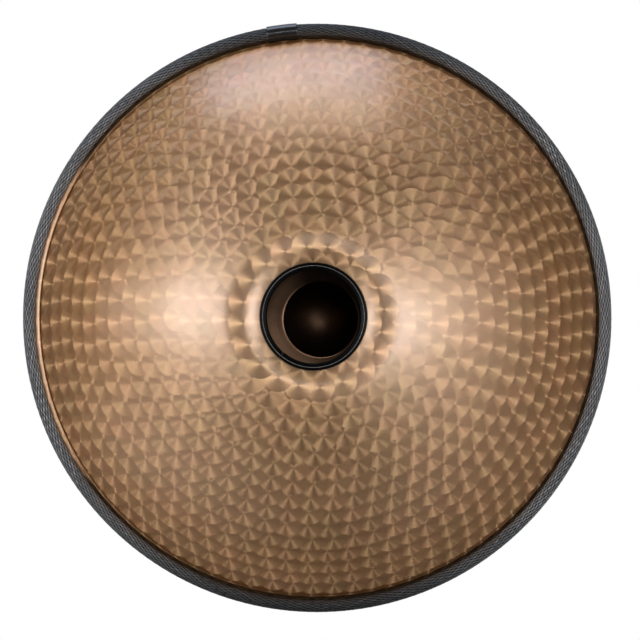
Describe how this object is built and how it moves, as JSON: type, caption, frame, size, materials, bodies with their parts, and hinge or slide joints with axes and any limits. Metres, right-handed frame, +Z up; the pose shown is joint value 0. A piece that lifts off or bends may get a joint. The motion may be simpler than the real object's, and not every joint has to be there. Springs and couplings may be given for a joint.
{
  "type": "handpan",
  "caption": "Lens-shaped steel percussion instrument: two domed shells bonded at the rim, with a raised centre note, oval dimpled tone fields, a corded rim and a rolled port below.",
  "frame": {"origin": "on the instrument's axis, in the plane of the port crest that it rests on", "axes": "+Z up through the ding; the rim covering's join sleeve is at 83 degrees from +X towards +Y, so near +Y; the two lowest notes' fields are nearest the player, at -Y"},
  "size_m": [0.56, 0.5605, 0.2223],
  "materials": {
    "bronzed_steel_top": "satin copper-bronze tint, engine-turned in overlapping swirls round the axis",
    "bronzed_steel": "satin copper-bronze tint, engine-turned in overlapping swirls round the axis",
    "adhesive": "cured black adhesive",
    "channel_rubber": "matt black",
    "clip_steel": "plain spring steel",
    "braided_cord": "charcoal round braid with a slight sheen",
    "shrink_sleeve": "glossy black heat-shrunk tube",
    "trim_rubber": "semi-matt black extruded rubber"
  },
  "bodies": {
    "root": {"ding_shell": "bronzed_steel_top", "gu_shell": "bronzed_steel", "flange_bond": "adhesive", "rim_core": "channel_rubber", "rim_clip_band": "clip_steel", "rim_braid": "braided_cord", "rim_join_sleeve": "shrink_sleeve", "port_trim": "trim_rubber", "port_trim_clip": "clip_steel"}
  },
  "joints": []
}
